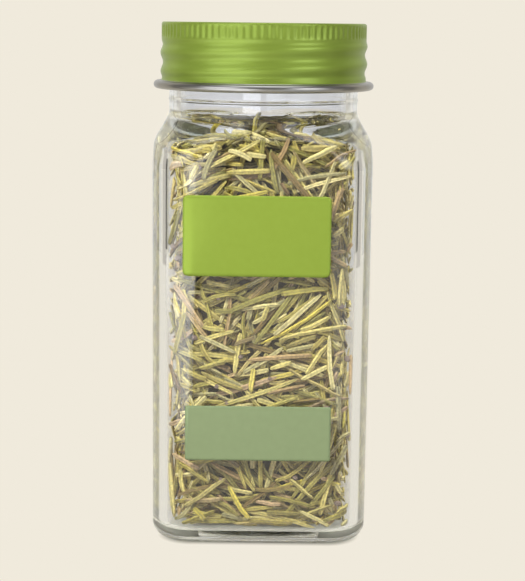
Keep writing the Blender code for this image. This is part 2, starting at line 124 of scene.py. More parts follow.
# Leaves that stand up into the neck: foot x, y, z, lean along x and y, length (millimetres).
STANDING = ((-1.8, -13.2, 87.2, 0.25, -0.2, 5.0), (9.2, -10.6, 87.0, -0.9, -0.25, 6.0),
            (-9.5, -8.0, 87.0, -0.5, 0.3, 4.0), (4.0, 9.5, 86.2, 0.6, 0.5, 3.8),
            (-6.5, 11.0, 86.0, -0.4, 0.2, 3.6), (12.4, 4.5, 86.4, 0.1, -0.7, 4.0))


def srgb(code):
    """Linear RGBA from an sRGB hex colour."""
    values = [int(code[i:i + 2], 16) / 255 for i in (1, 3, 5)]
    linear = [v / 12.92 if v <= 0.04045 else ((v + 0.055) / 1.055) ** 2.4 for v in values]
    return (*linear, 1.0)


def add_node(tree, kind, settings=None, **links):
    """Add a node, set its properties, then set or link its inputs by name."""
    node = tree.nodes.new(kind)
    for name, value in (settings or {}).items():
        setattr(node, name, value)
    for name, value in links.items():
        key = int(name[1:]) if name[0] == "_" and name[1:].isdigit() else name.replace("_", " ")
        socket = node.inputs[key]
        if isinstance(value, bpy.types.NodeSocket):
            tree.links.new(value, socket)
        else:
            socket.default_value = value
    return node


def new_material(name):
    mat = bpy.data.materials.new(name)
    mat.use_nodes = True
    mat.node_tree.nodes.clear()
    return mat, mat.node_tree


def show(tree, shader):
    add_node(tree, "ShaderNodeOutputMaterial", Surface=shader.outputs[0])


def clear_glass():
    """Pressed soda-lime glass: colourless, faintly wavy, and lamps shine through it onto the leaves."""
    mat, tree = new_material("clear soda-lime glass")
    place = add_node(tree, "ShaderNodeTexCoord")
    waves = add_node(tree, "ShaderNodeTexNoise", Vector=place.outputs["Object"], Scale=55.0, Detail=1.0)
    bump = add_node(tree, "ShaderNodeBump", Strength=0.05, Distance=0.0006, Height=waves.outputs["Fac"])
    glass = add_node(tree, "ShaderNodeBsdfPrincipled", Base_Color=srgb("#F3F4F7"), Roughness=0.015,
                     IOR=1.52, Transmission_Weight=1.0, Normal=bump.outputs["Normal"])
    clear = add_node(tree, "ShaderNodeBsdfTransparent", Color=srgb("#F4F8F5"))
    rays = add_node(tree, "ShaderNodeLightPath")
    # Each reflection inside the glass passes a third more to the clear shader, so none ends black.
    turned = add_node(tree, "ShaderNodeMath", {"operation": "MULTIPLY"}, _0=rays.outputs["Glossy Depth"],
                      _1=0.34)
    spent = add_node(tree, "ShaderNodeMixShader", _0=turned.outputs[0], _1=glass.outputs[0],
                     _2=clear.outputs[0])
    both = add_node(tree, "ShaderNodeMixShader", _0=rays.outputs["Is Shadow Ray"],
                    _1=spent.outputs[0], _2=clear.outputs[0])
    show(tree, both)
    return mat


def green_lacquer():
    """Green stoving lacquer over tinplate: satin, with wide soft reflections of the panels."""
    mat, tree = new_material("green lacquered tinplate")
    place = add_node(tree, "ShaderNodeTexCoord")
    peel = add_node(tree, "ShaderNodeTexNoise", Vector=place.outputs["Object"], Scale=900.0, Detail=2.0)
    bump = add_node(tree, "ShaderNodeBump", Strength=0.06, Distance=0.0001, Height=peel.outputs["Fac"])
    skin = add_node(tree, "ShaderNodeBsdfPrincipled", Base_Color=srgb("#738630"), Metallic=0.65,
                    Roughness=0.41, Coat_Weight=0.12, Coat_Roughness=0.12, Normal=bump.outputs["Normal"])
    show(tree, skin)
    return mat


def bare_tinplate():
    """Bare tinplate on the curled hem: bright rolled metal, a little brushed by the curling wheel."""
    mat, tree = new_material("bare tinplate")
    place = add_node(tree, "ShaderNodeTexCoord")
    stretch = add_node(tree, "ShaderNodeMapping", Vector=place.outputs["Object"], Scale=(1.0, 1.0, 9.0))
    grain = add_node(tree, "ShaderNodeTexNoise", Vector=stretch.outputs[0], Scale=700.0, Detail=3.0)
    bump = add_node(tree, "ShaderNodeBump", Strength=0.12, Distance=0.0001, Height=grain.outputs["Fac"])
    metal = add_node(tree, "ShaderNodeBsdfPrincipled", Base_Color=srgb("#989691"), Metallic=1.0,
                     Roughness=0.3, Normal=bump.outputs["Normal"])
    show(tree, metal)
    return mat


def gold_lacquer():
    """Clear gold-tinted lacquer inside the cap: warm and satin, a little uneven where it ran."""
    mat, tree = new_material("inner cap lacquer")
    place = add_node(tree, "ShaderNodeTexCoord")
    runs = add_node(tree, "ShaderNodeTexNoise", Vector=place.outputs["Object"], Scale=160.0, Detail=3.0)
    shade = add_node(tree, "ShaderNodeMix", {"data_type": "RGBA"}, _0=runs.outputs["Fac"],
                     _6=srgb("#CFC8AC"), _7=srgb("#E0DCC8"))
    bump = add_node(tree, "ShaderNodeBump", Strength=0.1, Distance=0.0001, Height=runs.outputs["Fac"])
    skin = add_node(tree, "ShaderNodeBsdfPrincipled", Base_Color=shade.outputs[2], Metallic=0.6,
                    Roughness=0.35, Normal=bump.outputs["Normal"])
    show(tree, skin)
    return mat


def liner_wad():
    """Coated pulpboard wad: off-white and matt, with the flecks of its fibres."""
    mat, tree = new_material("coated pulpboard")
    place = add_node(tree, "ShaderNodeTexCoord")
    fibres = add_node(tree, "ShaderNodeTexNoise", Vector=place.outputs["Object"], Scale=1400.0, Detail=4.0)
    shade = add_node(tree, "ShaderNodeMix", {"data_type": "RGBA"}, _0=fibres.outputs["Fac"],
                     _6=srgb("#D8D2C2"), _7=srgb("#F0ECE2"))
    bump = add_node(tree, "ShaderNodeBump", Strength=0.25, Distance=0.0001, Height=fibres.outputs["Fac"])
    board = add_node(tree, "ShaderNodeBsdfPrincipled", Base_Color=shade.outputs[2], Roughness=0.6,
                     Normal=bump.outputs["Normal"])
    show(tree, board)
    return mat


def label_film(name, dark, light):
    """Printed label film: a solid ink with a faint grain, under a satin face that lifts its own colour."""
    mat, tree = new_material(name)
    place = add_node(tree, "ShaderNodeTexCoord")
    grain = add_node(tree, "ShaderNodeTexNoise", Vector=place.outputs["Object"], Scale=700.0, Detail=5.0)
    ink = add_node(tree, "ShaderNodeMix", {"data_type": "RGBA"}, _0=grain.outputs["Fac"],
                   _6=srgb(dark), _7=srgb(light))
    film = add_node(tree, "ShaderNodeBsdfPrincipled", Base_Color=ink.outputs[2], Metallic=0.26,
                    Roughness=0.1, Specular_IOR_Level=0.05)
    show(tree, film)
    return mat


def dried_leaf():
    """Dried rosemary leaf: matt and wrinkled, each leaf in its own tint, with fine dark pores; the tint also
    carries the painted shade set on the leaves.
    """
    mat, tree = new_material("dried rosemary leaf")
    place = add_node(tree, "ShaderNodeTexCoord")
    tint = add_node(tree, "ShaderNodeAttribute", {"attribute_name": "tint"})
    pores = add_node(tree, "ShaderNodeTexNoise", Vector=place.outputs["Object"], Scale=1900.0, Detail=3.0)
    shade = add_node(tree, "ShaderNodeMapRange", Value=pores.outputs["Fac"], From_Min=0.3, From_Max=0.7,
                     To_Min=0.68, To_Max=1.32)
    skin = add_node(tree, "ShaderNodeMix", {"data_type": "RGBA", "blend_type": "MULTIPLY"}, Factor=1.0)
    tree.links.new(tint.outputs["Color"], skin.inputs["A"])
    tree.links.new(shade.outputs["Result"], skin.inputs["B"])
    bump = add_node(tree, "ShaderNodeBump", Strength=0.8, Distance=0.0001, Height=pores.outputs["Fac"])
    leaf = add_node(tree, "ShaderNodeBsdfPrincipled", Roughness=0.62, Normal=bump.outputs["Normal"])
    tree.links.new(skin.outputs["Result"], leaf.inputs["Base Color"])
    show(tree, leaf)
    return mat


def finish(bm, name, *materials, closed=True):
    """Turn a bmesh into a smooth-shaded object with its place in its mesh."""
    if closed:
        bmesh.ops.recalc_face_normals(bm, faces=bm.faces)
    mesh = bpy.data.meshes.new(name)
    bm.to_mesh(mesh)
    bm.free()
    for mat in materials:
        mesh.materials.append(mat)
    mesh.shade_smooth()
    obj = bpy.data.objects.new(name, mesh)
    bpy.context.scene.collection.objects.link(obj)
    return obj


def eased(z, low, high):
    t = np.clip((z - low) / (high - low), 0.0, 1.0)
    return t * t * (3 - 2 * t)


def square_radius(theta, half, corner):
    """Distance from the axis to a rounded square in the direction theta."""
    phi = np.abs((theta + math.pi / 4) % (math.pi / 2) - math.pi / 4)
    flat = half - corner
    b = flat * (np.cos(phi) + np.sin(phi))
    on_corner = b + np.sqrt(np.maximum(0.0, b * b - 2 * flat * flat + corner * corner))
    return np.where(half * np.tan(phi) <= flat, half / np.cos(phi), on_corner)


def outer_radius(theta, z):
    """The glass outside: a rounded square that becomes the round neck."""
    half = BODY_HALF + (NECK_R - BODY_HALF) * eased(z, SIDES_FROM, SHOULDER_END)
    corner = CORNER_R + (NECK_R - CORNER_R) * eased(z, CORNERS_FROM, SHOULDER_END)
    return square_radius(theta, half, np.minimum(half, corner))


def inner_radius(theta, z):
    """The cavity: a rounded square that becomes the round bore."""
    half = BODY_HALF - WALL + (BORE_R - BODY_HALF + WALL) * eased(z, CAVITY_SIDES_FROM, CAVITY_END)
    corner = CAVITY_CORNER_R + (BORE_R - CAVITY_CORNER_R) * eased(z, CAVITY_CORNERS_FROM, CAVITY_END)
    return square_radius(theta, half, np.minimum(half, corner))


def ring_start(bm, angles, radius, z):
    """A closed ring of edges, as the start of an extruded wall."""
    verts = [bm.verts.new((radius(a) * math.cos(a), radius(a) * math.sin(a), z)) for a in angles]
    return [bm.edges.new((verts[i - 1], verts[i])) for i in range(len(verts))]


def ring_up(bm, edges, radius, z):
    """Extrude a ring of edges and move the new ring to a radius by angle and a height."""
    grown = bmesh.ops.extrude_edge_only(bm, edges=edges)["geom"]
    for v in grown:
        if isinstance(v, bmesh.types.BMVert):
            a = math.atan2(v.co.y, v.co.x)
            r = float(radius(a))
            v.co = (r * math.cos(a), r * math.sin(a), z)
    return [e for e in grown if isinstance(e, bmesh.types.BMEdge)]


def square_angles(half, corner, on_flat, on_corner):
    """Directions for a ring's points, close together round the corners."""
    flat = half - corner
    quarter = [math.atan2(flat * (2 * k / on_flat - 1), half) for k in range(on_flat)]
    for k in range(on_corner):
        a = math.pi / 2 * k / on_corner
        quarter.append(math.atan2(flat + corner * math.sin(a), flat + corner * math.cos(a)))
    return [a + math.pi / 2 * side for side in range(4) for a in quarter]


def neck_ridge(theta, z):
    """How far the screw ridge stands out of the neck."""
    rise = 0.0
    for turn in (-1, 0, 1):
        t = theta + TURN * turn
        ends = min(t - RIDGE_START, RIDGE_END - t) / 0.5
        if ends <= 0:
            continue
        off = abs(z - RIDGE_Z0 - PITCH * t / TURN) / MM
        rise = max(rise, RIDGE_RISE * min(1.0, ends) * min(1.0, max(0.0, (1.15 - off) / 0.75)))
    return rise


def glass_jar(mat):
    bm = bmesh.new()
    angles = square_angles(BODY_HALF, CORNER_R, 20, 26)
    rings = []

    def square(half, corner, z):
        rings.append((lambda a: square_radius(a, half, max(corner, 0.2 * MM)), z))

    def turned(radius, z):
        rings.append((lambda a: radius, z))

    # Push-up, foot ring and heel.
    for k in range(1, 9):
        half = FOOT_INNER * k / 8
        square(half, half * CORNER_R / BODY_HALF, PUSH_UP * (1 - (k / 8) ** 2))
    for degrees in range(0, 91, 9):
        a = math.radians(degrees)
        inset = HEEL_R * (1 - math.sin(a))
        square(BODY_HALF - inset, CORNER_R - inset, HEEL_R * (1 - math.cos(a)))
    body_rings = 11
    for k in range(1, body_rings + 1):
        square(BODY_HALF, CORNER_R, HEEL_R + (BODY_TOP - HEEL_R) * k / body_rings)
    for z in np.arange(79.5, 92.6, 0.4) * MM:
        rings.append((lambda a, z=z: outer_radius(a, z), z))
    # Neck with its mould seam, where the rings are closest, and screw ridge.
    for z in list(np.arange(93.0, 95.0, 0.2) * MM) + list(np.arange(95.2, 108.2, 0.28) * MM):
        seam = SEAM_RISE * math.exp(-((z - NECK_SEAM_Z) / SEAM_HALF) ** 2)
        rings.append((lambda a, z=z, seam=seam: NECK_R + seam + neck_ridge(a, z), z))
    for degrees in range(0, 181, 20):
        a = math.radians(degrees)
        turned((NECK_R + BORE_R) / 2 + (NECK_R - BORE_R) / 2 * math.cos(a),
               RIM_Z - RIM_ROUND + RIM_ROUND * math.sin(a))
    # Bore, cavity and floor.
    for z in np.linspace(106.0, 94.5, 5) * MM:
        turned(BORE_R, z)
    for z in np.arange(94.0, 78.0, -0.4) * MM:
        rings.append((lambda a, z=z: inner_radius(a, z), z))
    plumb_top, spacing = 78.0, 7.0
    for k in range(1, 11):
        square(BODY_HALF - WALL, CAVITY_CORNER_R, (plumb_top - spacing * k) * MM)
    for degrees in range(90, -1, -9):
        a = math.radians(degrees)
        inset = CAVITY_HEEL_R * (1 - math.sin(a))
        square(BODY_HALF - WALL - inset, CAVITY_CORNER_R - inset * 0.8,
               FLOOR_Z + CAVITY_HEEL_R * (1 - math.cos(a)))
    floor_half = BODY_HALF - WALL - CAVITY_HEEL_R
    for k in range(7, 0, -1):
        half = floor_half * k / 8
        square(half, half * 0.3, FLOOR_Z + FLOOR_DOME * (1 - (k / 8) ** 2))
    edges = ring_start(bm, angles, *rings[0])
    for radius, z in rings[1:]:
        edges = ring_up(bm, edges, radius, z)
    bmesh.ops.holes_fill(bm, edges=[e for e in bm.edges if e.is_boundary], sides=0)
    return finish(bm, "glass_jar_clear", mat)


def cap_shell(lacquer, metal, inside):
    """The pressed cap, from the middle of its top round the hem and back up its inside."""
    bm = bmesh.new()
    points = FLUTES * 6
    angles = [TURN * k / points for k in range(points)]
    rings = []

    painted, bare, inner = 0, 1, 2

    def turned(radius, z, slot=painted):
        rings.append((lambda a: radius, z, slot))

    def skirt(z, inset, slot):
        rise = min(1.0, max(0.0, (z - ROLL_FROM) / ROLL_EASE_IN))
        fall = min(1.0, max(0.0, (ROLL_TO - z) / ROLL_EASE_OUT))

        def radius(a):
            phase = TURN * (z - ROLL_Z0) / PITCH - a
            return CAP_R - inset - ROLL_DEPTH * rise * fall * math.cos(phase)
        rings.append((radius, z, slot))

    def fluted(z, depth):
        def radius(a):
            return CAP_R - FLUTE_DEPTH * depth * (0.5 - 0.5 * math.cos(a * FLUTES)) ** 1.3
        rings.append((radius, z, painted))

    for r in (1.0, 10.0, PANEL_R / MM - 0.3):
        turned(r * MM, CAP_TOP - PANEL_DROP)
    turned(PANEL_R, CAP_TOP - PANEL_DROP + 0.04 * MM)
    turned(PANEL_R + 0.25 * MM, CAP_TOP - 0.04 * MM)
    turned(PANEL_R + 0.6 * MM, CAP_TOP)
    edge = 0.5 * MM
    for degrees in range(90, 19, -14):
        a = math.radians(degrees)
        turned(CAP_R - edge + edge * math.cos(a), CAP_TOP - edge + edge * math.sin(a))
    for z, depth in FLUTE_PROFILE:
        fluted(z * MM, depth)
    levels = list(np.arange(106.75, 98.15, -0.2) * MM)
    for z in levels:
        skirt(z, 0.0, painted)
    turned(CAP_R + 0.12 * MM, 98.05 * MM)
    # The hem, curled outwards; its metal is bare.
    middle = HEM_REACH - HEM_R - 0.02 * MM
    for degrees in range(130, -211, -14):
        a = math.radians(degrees)
        turned(middle + HEM_R * math.cos(a), HEM_Z + HEM_R * math.sin(a), bare)
    # Back up the inside of the skirt and across under the top.
    for z in reversed(levels):
        skirt(z, SHEET, inner)
    inner_wall = CAP_R - SHEET - FLUTE_DEPTH
    under_panel = CAP_TOP - PANEL_DROP - SHEET
    for r, z in ((inner_wall, 107.2 * MM), (inner_wall, 109.6 * MM), (CAP_R - 0.9 * MM, CAP_TOP - SHEET),
                 (PANEL_R + 0.2 * MM, CAP_TOP - SHEET), (PANEL_R - 0.2 * MM, under_panel),
                 (1.0 * MM, under_panel)):
        turned(r, z, inner)
    edges = ring_start(bm, angles, rings[0][0], rings[0][1])
    bmesh.ops.contextual_create(bm, geom=edges)
    bm.faces.ensure_lookup_table()
    done = 1
    for radius, z, slot in rings[1:]:
        edges = ring_up(bm, edges, radius, z)
        bm.faces.ensure_lookup_table()
        for k in range(done, len(bm.faces)):
            bm.faces[k].material_index = slot
        done = len(bm.faces)
    for face in bmesh.ops.contextual_create(bm, geom=edges)["faces"]:
        face.material_index = inner
    return finish(bm, "cap_shell", lacquer, metal, inside)


def liner_disc(mat):
    bm = bmesh.new()
    depth = LINER_HIGH[2] - LINER_LOW[2]
    radius = LINER_HIGH[0] - 0.05 * MM
    made = bmesh.ops.create_cone(bm, cap_ends=True, segments=96, radius1=radius, radius2=radius, depth=depth)
    bmesh.ops.translate(bm, verts=made["verts"], vec=(0, 0, LINER_LOW[2] + depth / 2))
    rims = [e for e in bm.edges if abs(e.verts[0].co.z - e.verts[1].co.z) < 1e-6]
    bmesh.ops.bevel(bm, geom=rims, offset=0.12 * MM, segments=2, profile=0.5, affect="EDGES", material=-1)
    return finish(bm, "cap_liner_disc", mat)


def label_sheet(name, node, radius, mat):
    """A bare label: a thin sheet with rounded corners, laid on the front face and its first curve."""
    low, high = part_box(node)
    bm = bmesh.new()
    bmesh.ops.create_grid(bm, x_segments=60, y_segments=24, size=0.5)
    wide, tall = high[0] - low[0], high[2] - low[2]
    flat = BODY_HALF - CORNER_R
    for v in bm.verts:
        x, z = v.co.x * wide, v.co.y * tall
        over_x = abs(x) - (wide / 2 - radius)
        over_z = abs(z) - (tall / 2 - radius)
        if over_x > 0 and over_z > 0:
            # Draw the corner in to its round.
            biggest = max(over_x, over_z)
            pull = biggest / math.hypot(over_x, over_z)
            x = math.copysign(wide / 2 - radius + over_x * pull, x)
            z = math.copysign(tall / 2 - radius + over_z * pull, z)
        x += (low[0] + high[0]) / 2
        z += (low[2] + high[2]) / 2
        out = max(0.0, abs(x) - flat)
        face = -(flat + math.sqrt(CORNER_R * CORNER_R - out * out))
        v.co = (x, face - LABEL_OFF, z)
    bm.normal_update()
    bmesh.ops.solidify(bm, geom=bm.faces[:], thickness=LABEL_THICK)
    return finish(bm, name, mat)


def settle(surface, wrap, spots, count, rng, lengths, lean, spread, span):
    """Lay leaves one by one on a surface seen as a map of heights, each resting on those before it.

    surface(u, v) is the bare height; wrap is the length round in u, or None. spots draws a place, and
    lean the usual angle there. Returns one row a leaf: its two ends (u, v, height), its bow and its width.
    """
    cell = MAP_CELL
    margin = 0.7
    (u0, u1), (v0, v1) = span
    nu, nv = int((u1 - u0) / cell) + 1, int((v1 - v0) / cell) + 1
    gu, gv = np.meshgrid(u0 + np.arange(nu) * cell, v0 + np.arange(nv) * cell, indexing="ij")
    heights = surface(gu, gv)
    bare = heights.copy()

    def cells(u, v):
        iu = np.round((u - u0) / cell).astype(int)
        iv = np.clip(np.round((v - v0) / cell).astype(int), 0, nv - 1)
        iu = iu % nu if wrap else np.clip(iu, 0, nu - 1)
        return iu, iv

    laid = []
    t = np.linspace(0, 1, 25)
    left, right = np.meshgrid(np.arange(0, 12), np.arange(13, 25), indexing="ij")
    thick = LEAF_HALF_THICK / MM
    tries = 6
    for _ in range(count):
        places = spots(rng, tries)
        length = rng.choice(lengths) * rng.uniform(0.85, 1.15)
        wide = rng.uniform(0.8, 1.15)
        bow = rng.normal(0, 0.02) * length * (1.0 + 2.0 * (rng.uniform() < 0.12))
        angle = lean(places[:, 0], places[:, 1]) + rng.normal(0, spread, tries)
        c, s = np.cos(angle)[:, None], np.sin(angle)[:, None]
        along = (t - 0.5)[None, :] * length
        across = (4 * bow * (t * (1 - t) - 1 / 6))[None, :]
        pu = places[:, :1] + along * c - across * s
        pv = places[:, 1:] + along * s + across * c
        inside = (pv.min(axis=1) > v0 + margin) & (pv.max(axis=1) < v1 - margin)
        if not wrap:
            inside &= (pu.min(axis=1) > u0 + margin) & (pu.max(axis=1) < u1 - margin)
        if not inside.any():
            continue
        half = LEAF_HALF_WIDTH / MM * wide
        need = np.full(pu.shape, -1e9)
        for w in (-0.6 * half, 0.0, 0.6 * half):
            need = np.maximum(need, heights[cells(pu - w * s, pv + w * c)])
        # The line that rests on the highest points either side of each leaf's middle.
        slope = (need[:, right] - need[:, left]) / (t[right] - t[left])
        middle = need[:, left] + slope * (0.5 - t[left])
        flat = middle.reshape(tries, -1)
        best = flat.argmax(axis=1)
        rest = flat[np.arange(tries), best] - bare[cells(places[:, 0], places[:, 1])]
        k = int(np.argmin(np.where(inside, rest, 1e9)))
        tilt = float(np.clip(slope.reshape(tries, -1)[k, best[k]], -0.3 * length, 0.3 * length))
        height = float(np.max(need[k] - tilt * (t - 0.5))) + thick * (1 - SINK)
        height = max(height, float(np.max(bare[cells(pu[k], pv[k])] + thick - tilt * (t - 0.5))))
        line = height + tilt * (t - 0.5)
        pu, pv, c, s = pu[k], pv[k], c[k], s[k]
        laid.append((pu[0], pv[0], line[0], pu[-1], pv[-1], line[-1], bow, wide))
        for w in np.linspace(-half, half, 7):
            iu, iv = cells(pu - w * s, pv + w * c)
            top = line + thick * math.sqrt(max(0.0, 1 - (w / half) ** 2)) * 0.9
            np.maximum.at(heights, (iu, iv), top)
    return np.array(laid)


def leaf_template():
    """One dried leaf, a unit long and a unit wide: rolled margins, a groove down each face."""
    bm = bmesh.new()
    section = ((-1.0, 0.0), (-0.62, 0.80), (0.0, 0.30), (0.62, 0.80),
               (1.0, 0.0), (0.58, -0.78), (0.0, -0.42), (-0.58, -0.78))
    verts = [bm.verts.new((0.0, x, y)) for x, y in section]
    edges = [bm.edges.new((verts[i - 1], verts[i])) for i in range(8)]
    stations = ((0.0, 0.60), (0.06, 0.90), (0.36, 1.0), (0.70, 0.96), (0.92, 0.76), (1.0, 0.34))
    for k, (x, size) in enumerate(stations):
        if k:
            grown = bmesh.ops.extrude_edge_only(bm, edges=edges)["geom"]
            edges = [e for e in grown if isinstance(e, bmesh.types.BMEdge)]
            verts = [v for v in grown if isinstance(v, bmesh.types.BMVert)]
        last = stations[k - 1][1] if k else 1.0
        for v in verts:
            v.co = (x, v.co.y * size / last, v.co.z * size / last)
    bmesh.ops.holes_fill(bm, edges=[e for e in bm.edges if e.is_boundary], sides=0)
    bmesh.ops.recalc_face_normals(bm, faces=bm.faces)
    bm.verts.index_update()
    co = np.array([v.co[:] for v in bm.verts])
    loops = np.array([v.index for f in bm.faces for v in f.verts])
    sizes = np.array([len(f.verts) for f in bm.faces])
    bm.free()
    return co, loops, sizes


TINTS = (("#DDC97A", 3.2), ("#C6B15E", 3.4), ("#B3A350", 2.6), ("#EEDB98", 2.4), ("#BDB07C", 1.8),
         ("#DDC657", 0.4), ("#998E48", 1.6), ("#C09F6E", 0.9), ("#D0AD86", 0.6), ("#85683F", 1.0))


def leaf_mesh(name, starts, ends, outs, bows, widths, rng, mat, shade=1.0):
    """All the leaves of one side as one mesh, with each leaf's tint as a colour on its points, darkened down
    the grooves and by shade as painted shade.
    """
    co, loops, sizes = leaf_template()
    count, points = len(starts), len(co)
    ahead = ends - starts
    length = np.linalg.norm(ahead, axis=1, keepdims=True)
    ahead /= length
    outs = outs - ahead * np.sum(outs * ahead, axis=1, keepdims=True)
    outs /= np.linalg.norm(outs, axis=1, keepdims=True)
    side = np.cross(outs, ahead)
    roll = rng.normal(0, 0.30, count) + math.pi * (rng.uniform(size=count) < 0.5)
    c, s = np.cos(roll)[:, None], np.sin(roll)[:, None]
    up, sideways = outs * c + side * s, side * c - outs * s
    flip = rng.uniform(size=count) < 0.5
    t = np.where(flip[:, None], 1 - co[None, :, 0], co[None, :, 0])
    half_w = (LEAF_HALF_WIDTH * widths)[:, None]
    half_t = (LEAF_HALF_THICK * rng.uniform(0.75, 1.05, count))[:, None]
    bow = 4 * bows[:, None] * t * (1 - t)
    wave = 0.10 * MM * np.sin(t * rng.uniform(2, 9, count)[:, None] + rng.uniform(0, TURN, count)[:, None])
    place = (starts[:, None, :] + ahead[:, None, :] * (t * length)[:, :, None]
             + sideways[:, None, :] * (co[None, :, 1] * half_w)[:, :, None]
             + up[:, None, :] * (co[None, :, 2] * half_t + wave * 0.5)[:, :, None]
             + side[:, None, :] * (bow + wave)[:, :, None])
    mesh = bpy.data.meshes.new(name)
    mesh.vertices.add(count * points)
    mesh.vertices.foreach_set("co", place.reshape(-1))
    mesh.loops.add(count * len(loops))
    mesh.polygons.add(count * len(sizes))
    base = np.arange(count)[:, None]
    mesh.loops.foreach_set("vertex_index", (loops[None, :] + base * points).reshape(-1))
    begin = np.concatenate(([0], np.cumsum(sizes)[:-1]))
    mesh.polygons.foreach_set("loop_start", (begin[None, :] + base * len(loops)).reshape(-1))
    mesh.update(calc_edges=True)
    mesh.validate()
    palette = np.array([srgb(code)[:3] for code, _ in TINTS])
    share = np.array([weight for _, weight in TINTS])
    pick = rng.choice(len(TINTS), size=count, p=share / share.sum())
    other = rng.choice(len(TINTS), size=count, p=share / share.sum())
    mix = rng.uniform(0, 0.35, count)[:, None]
    tint = palette[pick] * (1 - mix) + palette[other] * mix
    # shade scales the whole tint down: painted shade over a set of leaves.
    tint = tint * rng.uniform(0.80, 1.12, count)[:, None] * shade
    # The points down the middle of each face, in the grooves, are painted half as dark: painted shade in the
    # groove.
    groove = np.where(np.abs(co[:, 1]) < 0.05, 0.5, 1.0)
    ends_brown = 1 - 0.22 * np.clip(np.abs(co[:, 0] - 0.5) * 2 - 0.7, 0, 0.3) / 0.3
    colour = np.ones((count, points, 4))
    colour[:, :, :3] = tint[:, None, :] * (groove * ends_brown)[None, :, None]
    mesh.attributes.new("tint", "FLOAT_COLOR", "POINT").data.foreach_set("color", colour.reshape(-1))
    mesh.materials.append(mat)
    mesh.shade_smooth()
    obj = bpy.data.objects.new(name, mesh)
    bpy.context.scene.collection.objects.link(obj)
    return obj


# The cavity's outline as the leaves meet it, in millimetres.
HEAP_HALF = (BODY_HALF - WALL - GLASS_GAP) / MM
HEAP_CORNER = (CAVITY_CORNER_R - GLASS_GAP) / MM
HEAP_FLAT = HEAP_HALF - HEAP_CORNER
HEAP_ARC = HEAP_CORNER * math.pi / 2
HEAP_SIDE = 2 * HEAP_FLAT + HEAP_ARC
AROUND = 4 * HEAP_SIDE


def wall_point(u):
    """Point and inward direction on the cavity's outline, u round from the middle of the +X face."""
    u = np.asarray(u, dtype=float) % AROUND
    quarter = np.floor(u / HEAP_SIDE).astype(int)
    s = u - quarter * HEAP_SIDE
    a = np.clip((s - HEAP_FLAT) / HEAP_CORNER, 0, math.pi / 2)
    on_side, on_corner = s < HEAP_FLAT, s < HEAP_FLAT + HEAP_ARC
    x = np.where(on_side, HEAP_HALF, np.where(on_corner, HEAP_FLAT + HEAP_CORNER * np.cos(a), HEAP_SIDE - s))
    y = np.where(on_side, s, np.where(on_corner, HEAP_FLAT + HEAP_CORNER * np.sin(a), HEAP_HALF))
    nx, ny = -np.cos(a), -np.sin(a)
    for k in range(3):
        turn = quarter > k
        x, y = np.where(turn, -y, x), np.where(turn, x, y)
        nx, ny = np.where(turn, -ny, nx), np.where(turn, nx, ny)
    return x, y, nx, ny


def wall_inset(u, v):
    """How far the glass stands in from the plumb wall, at the shoulder and the heel."""
    x, y, _, _ = wall_point(u)
    glass = (inner_radius(np.arctan2(y, x), np.asarray(v) * MM) - GLASS_GAP) / MM
    top = np.where(np.asarray(v) > 80, np.maximum(0.0, np.hypot(x, y) - glass), 0.0)
    heel = CAVITY_HEEL_R / MM
    drop = np.clip((FLOOR_Z / MM + heel - v) / heel, 0, 1)
    return np.maximum(top, heel * (1 - np.sqrt(1 - drop * drop)))


def wall_place(u, v, d):
    """Points in metres at u round the wall, v up it and d in from it."""
    x, y, nx, ny = wall_point(u)
    return np.column_stack((x + nx * d, y + ny * d, v)) * MM


def wall_leaves(rng, mat):
    """The leaves against the glass, as one mesh for each of the four sides."""
    phases = rng.uniform(0, TURN, 6)

    def lean(u, v):
        w = TURN / AROUND
        return 0.55 * (np.sin(3 * w * u + phases[0] + v / 11) + np.sin(5 * w * u + phases[1] - v / 8)
                       + 0.8 * np.sin(9 * w * u + v / 5 + phases[2]))

    def spots(rng, n):
        return np.column_stack((rng.uniform(0, AROUND, n), rng.uniform(*WALL_SPOTS, n)))

    laid = settle(wall_inset, AROUND, spots, WALL_LEAVES, rng, LEAF_LENGTHS, lean, 0.5,
                  ((0.0, AROUND - MAP_CELL), WALL_SPAN))
    starts, ends = wall_place(*laid[:, 0:3].T), wall_place(*laid[:, 3:6].T)
    _, _, nx, ny = wall_point((laid[:, 0] + laid[:, 3]) / 2)
    outs = np.column_stack((-nx, -ny, np.zeros(len(laid))))
    middle = (starts + ends) / 2
    over_x, over_y = np.abs(middle[:, 0]), np.abs(middle[:, 1])
    sides = {
        "front": (middle[:, 1] < 0) & (over_y >= over_x),
        "back": (middle[:, 1] >= 0) & (over_y >= over_x),
        "right": (middle[:, 0] > 0) & (over_y < over_x),
        "left": (middle[:, 0] <= 0) & (over_y < over_x),
    }
    return [leaf_mesh("leaves_" + name, starts[on], ends[on], outs[on], laid[on, 6] * MM, laid[on, 7],
                      rng, mat)
            for name, on in sides.items()]


def flat_spots(reach):
    """Draws places evenly over a disc of that radius, in millimetres."""
    def spots(rng, n):
        r, a = reach * np.sqrt(rng.uniform(0, 1, n)), rng.uniform(0, TURN, n)
        return np.column_stack((r * np.cos(a), r * np.sin(a)))
    return spots


def heap_top(x, y):
    """The heap's upper surface, level and falling a little near the glass, in millimetres."""
    r = np.hypot(x, y)
    return HEAP_Z / MM - 3.4 - 0.9 * np.maximum(0, r - 16.5)


